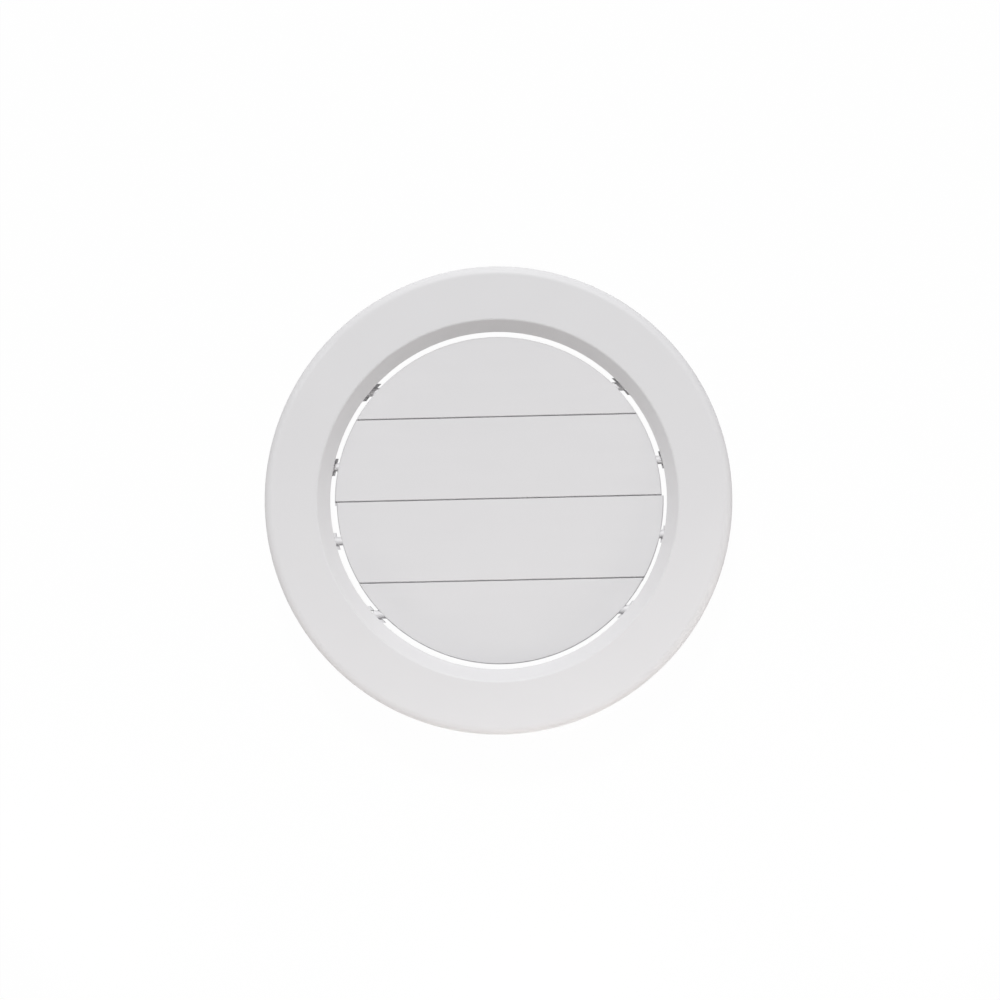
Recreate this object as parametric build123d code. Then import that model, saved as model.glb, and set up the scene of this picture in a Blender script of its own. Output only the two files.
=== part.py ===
from build123d import *

import math
import os

# Round ceiling register: one moulded frame and four louvers, each turning on its own pair of pins.
# Origin on the axis in the ceiling plane, +Z out of the face into the room, +X along the pivots.
# All sizes are in millimetres.

# Frame: collar, flange and throat
collar_diameter = 136.0
collar_wall = 2.0
collar_depth = 22.0
collar_lead_in = 0.8
flange_overhang = 20.0
flange_wall = 2.2
skirt_wall = 2.2
face_height = 6.2
face_edge_radius = 3.0
throat_edge_break = 0.3
throat_run = 4.5
lip_reach = 2.5
lip_land = 0.8
lip_edge_break = 0.2
inner_corner_fill = 0.8

# Frame: stiffening webs in the hollow back of the flange
web_count = 12
web_thickness = 1.4
web_foot_gap = 0.6
duct_edge_room = 2.6

# Frame: grip ribs along the outside of the collar
grip_count = 8
grip_width = 1.6
grip_height = 0.25
grip_top_gap = 5.0
grip_end_gap = 2.5
grip_taper = 4.0

# Frame: pivot bosses behind the lip
boss_width = 6.4
boss_reach = 0.65
boss_drop = 2.0
boss_setback = 0.3
snap_neck_squeeze = 0.5
snap_neck_depth = 1.3
snap_mouth_flare = 0.6

# Louvers
louver_names = ("bottom_louver", "lower_louver", "upper_louver", "top_louver")
louver_slide = (0.4, 0.5, -0.2, -0.2)
rim_gap = 1.8
rim_chamfer = 0.3
joint_gap = 0.4
joint_offset = 0.75
lap_thickness = 0.8
lap_overlap = 1.2
lap_clearance = 0.2
lap_end_clearance = 0.4
lap_edge_break = 0.2
pivot_crowding = 2.85
pivot_depth = 3.3
pin_diameter = 3.2
pin_drop = 0.1
pin_clearance = 0.05
pin_engagement = 2.0
pin_chamfer = 0.3
spine_diameter = 4.0
spine_end_gap = 0.6

# Depth by which a feature is sunk into the wall that it grows from
bond = 0.4

# Radii and heights that follow from the sizes above
collar_radius = collar_diameter / 2
bore_radius = collar_radius - collar_wall
opening_radius = bore_radius - lip_reach
throat_radius = opening_radius + throat_run
flange_radius = collar_radius + flange_overhang
skirt_radius = flange_radius - skirt_wall
flange_back = face_height - flange_wall
boss_face_radius = opening_radius - boss_reach
pin_radius = pin_diameter / 2
seat_radius = pin_radius + pin_clearance
pivot_height = -pivot_depth
boss_back = pivot_height - boss_drop
disc_radius = opening_radius - rim_gap
plate_thickness = 2 * lap_thickness + lap_clearance
plate_front = pivot_height + pin_radius + pin_drop
plate_back = plate_front - plate_thickness
louver_count = len(louver_names)
louver_pitch = 2 * disc_radius / louver_count
pivot_pitch = louver_pitch - pivot_crowding


def round_corner(face, corner, radius):
    """Round the corner of a flat face that lies at the given point."""
    vertex = face.vertices().sort_by_distance((*corner, 0))[:1]
    return fillet(vertex, radius)


def cut_corner(face, corner, length):
    """Cut or fill the corner of a flat face at the given point with a small even flat."""
    vertex = face.vertices().sort_by_distance((*corner, 0))[:1]
    return chamfer(vertex, length)


def chord_half(radius, height):
    """Half the length of a circle's chord at a height above its centre."""
    return math.sqrt(radius**2 - height**2)


def disc_solid(radius, low, high):
    """Upright cylinder about the register's axis between two heights."""
    return Pos(0, 0, low) * Cylinder(radius, high - low, align=(Align.CENTER, Align.CENTER, Align.MIN))


def rod_along_x(radius, end):
    """Round rod on the X axis from the origin to a signed end."""
    rod = Cylinder(radius, abs(end), align=(Align.CENTER, Align.CENTER, Align.MIN))
    return Rot(Y=math.copysign(90, end)) * rod


def ring_body():
    """Flange, bevelled throat, lip and collar as one turned section."""
    lip_front = (opening_radius, lip_land)
    lip_back = (opening_radius, 0)
    lip_root = (bore_radius, 0)
    throat_edge = (throat_radius, face_height)
    face_edge = (flange_radius, face_height)
    skirt_corner = (skirt_radius, flange_back)
    collar_root = (collar_radius, flange_back)
    collar_end_out = (collar_radius, -collar_depth)
    collar_end_in = (bore_radius, -collar_depth)
    section = [
        lip_front,
        throat_edge,
        face_edge,
        (flange_radius, 0),
        (skirt_radius, 0),
        skirt_corner,
        collar_root,
        collar_end_out,
        collar_end_in,
        lip_root,
        lip_back,
    ]
    face = make_face(Polyline(section, close=True))
    face = round_corner(face, face_edge, face_edge_radius)
    face = cut_corner(face, throat_edge, throat_edge_break)
    face = cut_corner(face, lip_back, lip_edge_break)
    face = cut_corner(face, skirt_corner, inner_corner_fill)
    face = cut_corner(face, lip_root, inner_corner_fill)
    face = cut_corner(face, collar_end_out, collar_lead_in)
    face = cut_corner(face, collar_end_in, lip_edge_break)
    return revolve(Plane.XZ * face, axis=Axis.Z)


def flange_web():
    """One radial web that stiffens the flange, clear of the ceiling and of the duct's edge."""
    inner = collar_radius + duct_edge_room
    outer = skirt_radius + bond
    top = flange_back + bond
    outline = Polyline((inner, web_foot_gap), (outer, web_foot_gap), (outer, top), (inner, top), close=True)
    return extrude(Plane.XZ * make_face(outline), web_thickness / 2, both=True)


def grip_rib():
    """One shallow rib on the collar that grips the duct, tapered where the duct slides on."""
    root = collar_radius - bond
    crest = collar_radius + grip_height
    top = -grip_top_gap
    end = grip_end_gap - collar_depth
    outline = Polyline(
        (root, top),
        (collar_radius, top),
        (crest, top - grip_height),
        (crest, end + grip_taper),
        (collar_radius, end),
        (root, end),
        close=True,
    )
    return extrude(Plane.XZ * make_face(outline), grip_width / 2, both=True)


def around_axis(feature, count):
    """Copies of a feature spaced evenly round the register's axis, half a step off the X axis."""
    step = 360 / count
    return [Rot(Z=step * (index + 0.5)) * feature for index in range(count)]


def pivot_boss(pivot_y, side):
    """Boss under the lip with a low step inside it, a blind round seat and a snap slot to the rear."""
    block = Pos(side * bore_radius, pivot_y, boss_back) * Box(
        2 * bore_radius,
        boss_width,
        bond - boss_back,
        align=(Align.CENTER, Align.CENTER, Align.MIN),
    )
    block &= disc_solid(bore_radius + bond, boss_back - bond, lip_land)
    block -= disc_solid(boss_face_radius, boss_back - bond, lip_land)
    block -= disc_solid(opening_radius + boss_setback, pivot_height, lip_land)
    neck = seat_radius - snap_neck_squeeze / 2
    mouth = neck + snap_mouth_flare
    outline = Polyline(
        (-neck, 0),
        (-neck, -snap_neck_depth),
        (-mouth, -boss_drop - bond),
        (mouth, -boss_drop - bond),
        (neck, -snap_neck_depth),
        (neck, 0),
        close=True,
    )
    slot = extrude(Plane.YZ * make_face(outline), side * bore_radius)
    seat = Pos(0, pivot_y, pivot_height) * (rod_along_x(seat_radius, side * bore_radius) + slot)
    seat &= disc_solid(bore_radius, boss_back - 2 * bond, 0)
    return block - seat


def register_frame():
    """The whole moulding: ring, webs, grip ribs and the eight pivot bosses."""
    bosses = [pivot_boss(pivot_y, side) for pivot_y in pivot_heights() for side in (-1, 1)]
    return ring_body() + around_axis(flange_web(), web_count) + around_axis(grip_rib(), grip_count) + bosses


def pivot_heights():
    """Pivot places across the opening, from the bottom louver to the top one."""
    middle = (louver_count - 1) / 2
    return [(index - middle) * pivot_pitch for index in range(louver_count)]


def joint_height(index):
    """Height of the joint line below the louver of the given number."""
    return (index - louver_count / 2) * louver_pitch + joint_offset


def blade_section(index):
    """Section of one louver: a thin plate, rebated behind its upper edge, with a lip behind the next one."""
    front_lap = plate_front - lap_thickness
    back_lip = plate_back + lap_thickness
    if index < louver_count - 1:
        upper_front = joint_height(index + 1) - joint_gap / 2
        upper_back = upper_front - lap_overlap - lap_end_clearance
    else:
        upper_front = upper_back = disc_radius + bond
    if index > 0:
        lower_front = joint_height(index) + joint_gap / 2
        lower_back = lower_front - joint_gap - lap_overlap
    else:
        lower_front = lower_back = -disc_radius - bond
    upper_edge = [(upper_front, plate_front)]
    if upper_back < upper_front:
        upper_edge += [(upper_front, front_lap), (upper_back, front_lap)]
    upper_edge += [(upper_back, plate_back)]
    lower_edge = [(lower_back, plate_back)]
    if lower_back < lower_front:
        lower_edge += [(lower_back, back_lip), (lower_front, back_lip)]
    lower_edge += [(lower_front, plate_front)]
    face = make_face(Polyline(upper_edge + lower_edge, close=True))
    face = cut_corner(face, upper_edge[0], lap_edge_break)
    face = cut_corner(face, lower_edge[-1], lap_edge_break)
    return face


def blade_trim():
    """Round tool that trims a louver's strip to the disc and bevels both edges of its rim."""
    narrow = disc_radius - rim_chamfer - bond
    outline = Polyline(
        (0, plate_back - bond),
        (narrow, plate_back - bond),
        (disc_radius, plate_back + rim_chamfer),
        (disc_radius, plate_front - rim_chamfer),
        (narrow, plate_front + bond),
        (0, plate_front + bond),
        close=True,
    )
    return revolve(Plane.XZ * make_face(outline), axis=Axis.Z)


def louver_pin(pivot_y, side):
    """Round pin that grows from the louver's rim, a little below its front, and runs into its seat."""
    tip = chord_half(boss_face_radius, pivot_y) + pin_engagement
    pin = rod_along_x(pin_radius, side * tip)
    pin = chamfer(pin.edges().sort_by(Axis.X)[-1 if side > 0 else 0], pin_chamfer)
    pin = Pos(0, pivot_y, pivot_height) * pin
    root_radius = disc_radius - spine_end_gap - bond
    return pin - disc_solid(root_radius, pivot_height - pin_diameter, pivot_height + pin_diameter)


def louver(index):
    """One louver: lapped blade, rounded spine behind it and a pin at each end."""
    pivot_y = pivot_heights()[index]
    strip = extrude(Plane.YZ * blade_section(index), disc_radius + bond, both=True)
    blade = strip & blade_trim()
    spine = Pos(0, pivot_y, pivot_height) * Rot(Y=90) * Cylinder(spine_diameter / 2, 2 * disc_radius)
    spine &= disc_solid(disc_radius - spine_end_gap, pivot_height - spine_diameter, plate_back + bond)
    pins = [louver_pin(pivot_y, side) for side in (-1, 1)]
    return Pos(louver_slide[index], 0, 0) * (blade + spine + pins)


def main():
    """Build the five pieces and write each to its own file."""
    os.makedirs("parts", exist_ok=True)
    export_step(register_frame(), "parts/register_frame.step")
    for index, name in enumerate(louver_names):
        export_step(louver(index), f"parts/{name}.step")


main()
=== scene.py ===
"""Dresses a round ceiling register: white moulded plastic on a white floor, seen straight on its face."""

import logging
import math
from collections.abc import Mapping, Sequence
from dataclasses import dataclass, replace
from enum import Enum, IntEnum
from typing import Any

import bpy
import numpy as np
from mathutils import Matrix, Vector


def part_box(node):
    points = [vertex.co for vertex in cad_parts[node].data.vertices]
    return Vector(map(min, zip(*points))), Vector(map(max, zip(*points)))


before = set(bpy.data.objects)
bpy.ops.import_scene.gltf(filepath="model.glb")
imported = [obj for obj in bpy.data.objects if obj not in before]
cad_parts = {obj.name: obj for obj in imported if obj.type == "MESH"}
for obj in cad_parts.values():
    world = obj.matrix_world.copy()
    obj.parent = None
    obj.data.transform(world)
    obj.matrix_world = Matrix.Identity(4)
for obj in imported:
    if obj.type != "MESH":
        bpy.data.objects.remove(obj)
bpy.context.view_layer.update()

LOG = logging.getLogger("ceiling_register")
Colour = tuple[float, float, float]
Direction = tuple[float, float, float]
WHITE: Colour = (1.0, 1.0, 1.0)
WARM: Colour = (1.0, 0.95, 0.91)
NOISE_MEAN = 0.5


class Slot(Enum):
    """Names of the record's material slots."""

    FRAME = "frame_plastic"
    LOUVER = "louver_plastic"


class MixSocket(IntEnum):
    """Places of a Mix node's sockets when it blends colours."""

    FACTOR = 0
    FIRST = 6
    SECOND = 7
    RESULT = 2


class Value:
    """A number socket of a node tree that adds Math nodes when it is used in an expression."""

    def __init__(self, graph: "Graph", socket: bpy.types.NodeSocket) -> None:
        """Keep the socket and the graph that it belongs to."""
        self.graph = graph
        self.socket = socket

    def math(self, operation: str, *operands: Any) -> "Value":
        """Add one Math node.

        Args:
            operation: Blender's name of the operation.
            operands: Values or plain numbers, in the node's order.

        Returns:
            The node's result.
        """
        inputs = dict(enumerate(operands))
        node = self.graph.node("ShaderNodeMath", {"operation": operation}, inputs)
        return Value(self.graph, node.outputs[0])

    def __add__(self, other: Any) -> "Value":
        """Sum of two values."""
        return self.math("ADD", self, other)

    __radd__ = __add__

    def __sub__(self, other: Any) -> "Value":
        """This value less another."""
        return self.math("SUBTRACT", self, other)

    def __rsub__(self, other: Any) -> "Value":
        """Another value less this one."""
        return self.math("SUBTRACT", other, self)

    def __mul__(self, other: Any) -> "Value":
        """Product of two values."""
        return self.math("MULTIPLY", self, other)

    __rmul__ = __mul__

    def at_least(self, other: Any) -> "Value":
        """The larger of two values."""
        return self.math("MAXIMUM", self, other)

    def at_most(self, other: Any) -> "Value":
        """The smaller of two values."""
        return self.math("MINIMUM", self, other)


class Graph:
    """The node tree of one material, lamp or world."""

    def __init__(self, tree: bpy.types.NodeTree) -> None:
        """Empty the tree and keep it."""
        tree.nodes.clear()
        self.tree = tree

    def node(
        self,
        kind: str,
        settings: Mapping[str, Any] | None = None,
        inputs: Mapping[str | int, Any] | None = None,
    ) -> bpy.types.Node:
        """Add a node of any kind.

        Args:
            kind: Blender's type name of the node.
            settings: The node's own properties, which are set before its sockets.
            inputs: A number, colour, socket or Value for each socket, by name or index.

        Returns:
            The new node.
        """
        made = self.tree.nodes.new(kind)
        for name, setting in (settings or {}).items():
            setattr(made, name, setting)
        for key, given in (inputs or {}).items():
            self.feed(made.inputs[key], given)
        return made

    def feed(self, socket: bpy.types.NodeSocket, given: Any) -> None:
        """Link a socket or set its constant.

        Args:
            socket: The input to feed.
            given: A Value, an output socket, a number or a colour.
        """
        if isinstance(given, Value):
            given = given.socket
        if isinstance(given, bpy.types.NodeSocket):
            self.tree.links.new(given, socket)
        elif isinstance(given, tuple) and socket.type == "RGBA":
            socket.default_value = (*given, 1.0)
        else:
            socket.default_value = given

    def value(self, kind: str, output: str, settings: Mapping[str, Any], inputs: Mapping[Any, Any]) -> Value:
        """Add a node and wrap one of its number outputs.

        Args:
            kind: Blender's type name of the node.
            output: Name of the output to wrap.
            settings: The node's own properties.
            inputs: What its sockets hold.

        Returns:
            The output as a Value.
        """
        return Value(self, self.node(kind, settings, inputs).outputs[output])

    def mix(self, factor: Value, first: Any, second: Any) -> bpy.types.NodeSocket:
        """Blend two colours.

        Args:
            factor: Share of the second colour.
            first: Colour at 0.
            second: Colour at 1.

        Returns:
            The blended colour's socket.
        """
        inputs = {MixSocket.FACTOR: factor, MixSocket.FIRST: first, MixSocket.SECOND: second}
        blend = self.node("ShaderNodeMix", {"data_type": "RGBA"}, inputs)
        return blend.outputs[MixSocket.RESULT]


@dataclass(frozen=True)
class MouldedPlastic:
    """Satin white injection-moulded plastic: faint mottling, flow streaks and spark-eroded grain.

    Lengths are in metres. The streaks run along X, the way the melt fills a long piece.
    """

    name: str
    colour: Colour
    shade: Colour
    roughness: float
    roughness_spread: float
    mottle_size: float
    streak_size: float
    streak_stretch: float
    streak_share: float
    grain_size: float
    grain_depth: float
    ripple_size: float
    ripple_depth: float
    specular: float
    mottle_detail: float = 2.0
    streak_detail: float = 1.0
    grain_detail: float = 1.0
    ripple_detail: float = 0.0

    def noise(self, graph: Graph, vector: Any, size: float, detail: float) -> Value:
        """Noise with features of about a given size.

        Args:
            graph: The material's node graph.
            vector: Coordinates in metres.
            size: Size of a feature.
            detail: Octaves of finer noise on top.

        Returns:
            The noise, from 0 to 1.
        """
        inputs = {"Vector": vector, "Scale": 1.0 / size, "Detail": detail}
        return graph.value("ShaderNodeTexNoise", "Fac", {"noise_dimensions": "3D"}, inputs)

    def material(self) -> bpy.types.Material:
        """Build the material's node tree."""
        made = bpy.data.materials.new(self.name)
        made.use_nodes = True
        graph = Graph(made.node_tree)
        place = graph.node("ShaderNodeTexCoord").outputs["Object"]
        stretched = graph.node(
            "ShaderNodeMapping", None, {"Vector": place, "Scale": (1.0 / self.streak_stretch, 1.0, 1.0)}
        ).outputs["Vector"]
        mottle = self.noise(graph, place, self.mottle_size, self.mottle_detail)
        streak = self.noise(graph, stretched, self.streak_size, self.streak_detail)
        grain = self.noise(graph, place, self.grain_size, self.grain_detail)
        ripple = self.noise(graph, place, self.ripple_size, self.ripple_detail)
        tone = mottle * (1.0 - self.streak_share) + streak * self.streak_share
        unevenness = (streak - NOISE_MEAN) + (grain - NOISE_MEAN)
        roughness = self.roughness + unevenness * self.roughness_spread
        ripples = {"Height": ripple, "Distance": self.ripple_depth, "Strength": 1.0}
        coarse = graph.node("ShaderNodeBump", None, ripples).outputs["Normal"]
        grains = {"Height": grain, "Distance": self.grain_depth, "Strength": 1.0, "Normal": coarse}
        fine = graph.node("ShaderNodeBump", None, grains).outputs["Normal"]
        shader = graph.node(
            "ShaderNodeBsdfPrincipled",
            None,
            {
                "Base Color": graph.mix(tone, self.shade, self.colour),
                "Roughness": roughness,
                "Specular IOR Level": self.specular,
                "Normal": fine,
            },
        )
        graph.node("ShaderNodeOutputMaterial", None, {"Surface": shader.outputs["BSDF"]})
        return made


FRAME_FINISH = MouldedPlastic(
    name="frame_satin_white",
    colour=(0.745, 0.740, 0.752),
    shade=(0.715, 0.710, 0.722),
    roughness=0.52,
    roughness_spread=0.10,
    mottle_size=0.030,
    streak_size=0.012,
    streak_stretch=1.0,
    streak_share=0.3,
    grain_size=0.00045,
    grain_depth=0.000004,
    ripple_size=0.009,
    ripple_depth=0.000012,
    specular=0.38,
)

LOUVER_FINISH = replace(
    FRAME_FINISH,
    name="louver_satin_white",
    roughness=0.50,
    mottle_size=0.024,
    streak_size=0.005,
    streak_stretch=9.0,
    streak_share=0.5,
    ripple_size=0.008,
)


@dataclass
class RegisterFrame:
    """The moulded ring: flange, bevelled throat, collar and pivot bosses."""

    node: str = "register_frame"
    finish: MouldedPlastic = FRAME_FINISH

    def dress(self) -> None:
        """Give the ring its plastic."""
        dress_node(self.node, self.finish.material())

    @property
    def rear(self) -> float:
        """Height of the collar's rear rim, on which the register lies."""
        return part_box(self.node)[0].z

    @property
    def face(self) -> float:
        """Height of the flange's front face."""
        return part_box(self.node)[1].z

    @property
    def width(self) -> float:
        """Outer diameter of the flange, measured across the pivots."""
        low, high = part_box(self.node)
        return high.y - low.y


@dataclass
class LouverBank:
    """The row of pivoting louvers in the opening."""

    nodes: Sequence[str] = ("top_louver", "upper_louver", "lower_louver", "bottom_louver")
    finish: MouldedPlastic = LOUVER_FINISH

    def dress(self) -> None:
        """Give every louver the same plastic."""
        plastic = self.finish.material()
        for node in self.nodes:
            dress_node(node, plastic)


def dress_node(node: str, plastic: bpy.types.Material) -> None:
    """Put a finish on a solid and report it.

    Args:
        node: Name of the solid.
        plastic: The finish.
    """
    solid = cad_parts[node]
    solid.data.materials.clear()
    solid.data.materials.append(plastic)
    LOG.info("%s dressed in %s", node, plastic.name)


def seen_directly(graph: Graph) -> Value:
    """Mask of the rays by which the background is seen: from the camera, in gloss or through glass.

    Args:
        graph: Node graph of the floor or the world.

    Returns:
        1 on those rays and 0 on the rays that only carry light.
    """
    path = graph.node("ShaderNodeLightPath").outputs
    seen = Value(graph, path["Is Camera Ray"]) + Value(graph, path["Is Glossy Ray"])
    return (seen + Value(graph, path["Is Transmission Ray"])).at_most(1.0)


@dataclass
class StudioFloor:
    """Plain white floor under the collar, seen as white and still holding the object's shadow."""

    height: float
    half_width: float = 6.0
    albedo: Colour = (0.66, 0.66, 0.66)
    white_share: float = 0.985
    cells: int = 8

    def mesh(self) -> bpy.types.Mesh:
        """A flat square: x and y run evenly over a grid and z is the floor's height."""
        line = np.linspace(-self.half_width, self.half_width, self.cells + 1)
        x, y = np.meshgrid(line, line, indexing="ij")
        points = np.stack([x, y, np.full_like(x, self.height)], axis=-1).reshape(-1, 3)
        index = np.arange(points.shape[0]).reshape(self.cells + 1, self.cells + 1)
        corners = (index[:-1, :-1], index[1:, :-1], index[1:, 1:], index[:-1, 1:])
        faces = np.stack([corner.ravel() for corner in corners], axis=-1)
        made = bpy.data.meshes.new("studio_floor")
        made.from_pydata(points.tolist(), [], faces.tolist())
        return made

    def material(self) -> bpy.types.Material:
        """White where it is seen, and a plain matt floor for the light that it throws back."""
        made = bpy.data.materials.new("studio_white")
        made.use_nodes = True
        graph = Graph(made.node_tree)
        matt = graph.node("ShaderNodeBsdfDiffuse", None, {"Color": self.albedo})
        white = graph.node("ShaderNodeEmission", None, {"Color": WHITE, "Strength": 1.0})
        share = seen_directly(graph) * self.white_share
        blend = graph.node(
            "ShaderNodeMixShader", None, {0: share, 1: matt.outputs["BSDF"], 2: white.outputs["Emission"]}
        )
        graph.node("ShaderNodeOutputMaterial", None, {"Surface": blend.outputs["Shader"]})
        return made

    def build(self) -> None:
        """Lay the floor."""
        floor = bpy.data.objects.new("studio_floor", self.mesh())
        floor.data.materials.append(self.material())
        bpy.context.scene.collection.objects.link(floor)


@dataclass(frozen=True)
class SoftBox:
    """A square soft light, aimed at the register's face, that its gloss may or may not show."""

    name: str
    direction: Direction
    distance: float
    size: float
    power: float
    tint: Colour
    mirrored: bool

    def build(self, target: Vector) -> None:
        """Hang the light.

        Args:
            target: Point that it is aimed at.
        """
        lamp = bpy.data.lights.new(self.name, "AREA")
        lamp.shape = "SQUARE"
        lamp.size = self.size
        lamp.energy = self.power
        lamp.color = self.tint
        away = Vector(self.direction).normalized()
        hung = bpy.data.objects.new(self.name, lamp)
        hung.matrix_world = Matrix.Translation(target + away * self.distance) @ (
            (-away).to_track_quat("-Z", "Y").to_matrix().to_4x4()
        )
        hung.visible_camera = False
        hung.visible_glossy = self.mirrored
        bpy.context.scene.collection.objects.link(hung)


def tilted_up(degrees: float) -> Direction:
    """Direction that leans from the face's normal towards the top of the photo.

    Args:
        degrees: Angle of the lean.

    Returns:
        The direction as a unit vector.
    """
    lean = math.radians(degrees)
    return (0.0, math.sin(lean), math.cos(lean))


def weak_light(name: str, direction: Direction, distance: float, size: float, power: float) -> SoftBox:
    """A light that stands for the room's warm bounce and is kept out of the plastic's gloss.

    Args:
        name: Name of the lamp.
        direction: Where it hangs, as seen from the register's face.
        distance: How far away it hangs.
        size: Length of its side.
        power: Its power in watts.

    Returns:
        The light.
    """
    return SoftBox(name, direction, distance, size, power, tint=WARM, mirrored=False)


@dataclass
class Studio:
    """White surroundings, brighter overhead, one strong soft light and four weak ones opposite."""

    ambient: float = 0.20
    overhead: float = 0.37
    lights: Sequence[SoftBox] = (
        SoftBox(
            name="key_light",
            direction=tilted_up(36.0),
            distance=3.0,
            size=0.4,
            power=63.0,
            tint=WHITE,
            mirrored=True,
        ),
        weak_light("bottom_fill", direction=(0.05, -0.87, 0.50), distance=0.25, size=0.10, power=0.042),
        weak_light("edge_fill", direction=(0.05, -0.99, 0.11), distance=0.22, size=0.06, power=0.076),
        weak_light("left_fill", direction=(-0.76, -0.63, 0.17), distance=0.25, size=0.10, power=0.098),
        weak_light("right_fill", direction=(0.80, -0.58, 0.17), distance=0.25, size=0.10, power=0.127),
    )

    def surroundings(self) -> None:
        """World that is full white where it is seen and gives a softer light, graded towards +Y."""
        world = bpy.data.worlds.new("studio_world")
        bpy.context.scene.world = world
        world.use_nodes = True
        graph = Graph(world.node_tree)
        ray = graph.node("ShaderNodeTexCoord").outputs["Generated"]
        upward = graph.value("ShaderNodeSeparateXYZ", "Y", {}, {"Vector": ray}).at_least(0.0)
        seen = seen_directly(graph)
        strength = seen + (1.0 - seen) * (self.ambient + upward * self.overhead)
        sky = graph.node("ShaderNodeBackground", None, {"Color": WHITE, "Strength": strength})
        graph.node("ShaderNodeOutputWorld", None, {"Surface": sky.outputs["Background"]})

    def build(self, target: Vector) -> None:
        """Set the surroundings and the lights.

        Args:
            target: Point that the lights are aimed at.
        """
        self.surroundings()
        for light in self.lights:
            light.build(target)
            LOG.info("%s hung", light.name)


@dataclass
class PhotoCamera:
    """The photo's viewpoint: nearly straight on, a little from the right and below, and slightly rolled."""

    distance: float = 1.5
    sensor: float = 36.0
    image_pixels: float = 1000.0
    register_pixels: float = 468.3
    centre_pixels: tuple[float, float] = (497.8, 500.35)
    side_angle: float = 3.0
    rise_angle: float = -1.0
    roll_angle: float = 1.25

    def build(self, centre: Vector, width: float) -> None:
        """Place the camera so that the register has the photo's size and place in the image.

        Args:
            centre: Middle of the flange's outline.
            width: Outer diameter of the flange.
        """
        side = math.radians(self.side_angle)
        rise = math.radians(self.rise_angle)
        roll = math.radians(self.roll_angle)
        back = Vector((math.tan(side), math.tan(rise), 1.0)).normalized()
        level = Vector((0.0, 1.0, 0.0)).cross(back).normalized()
        upright = back.cross(level)
        right = level * math.cos(roll) - upright * math.sin(roll)
        up = level * math.sin(roll) + upright * math.cos(roll)
        pixel = width / self.register_pixels
        half = self.image_pixels / 2
        aside = right * (half - self.centre_pixels[0]) * pixel
        above = up * (self.centre_pixels[1] - half) * pixel
        lens = bpy.data.cameras.new("photo_camera")
        lens.sensor_width = self.sensor
        lens.lens = self.sensor * self.distance / (self.image_pixels * pixel)
        stand = bpy.data.objects.new("photo_camera", lens)
        turned = Matrix((right, up, back)).transposed().to_4x4()
        stand.matrix_world = Matrix.Translation(centre + back * self.distance + aside + above) @ turned
        bpy.context.scene.collection.objects.link(stand)
        bpy.context.scene.camera = stand


def main() -> None:
    """Dress the register and set the stage, the light and the camera."""
    logging.basicConfig(level=logging.INFO, format="%(name)s: %(message)s")
    bpy.context.scene.view_settings.view_transform = "Standard"
    ring = RegisterFrame()
    ring.dress()
    LouverBank().dress()
    StudioFloor(height=ring.rear).build()
    Studio().build(Vector((0.0, 0.0, ring.face)))
    PhotoCamera().build(Vector((0.0, 0.0, ring.face / 2)), ring.width)


if __name__ == "__main__":
    main()
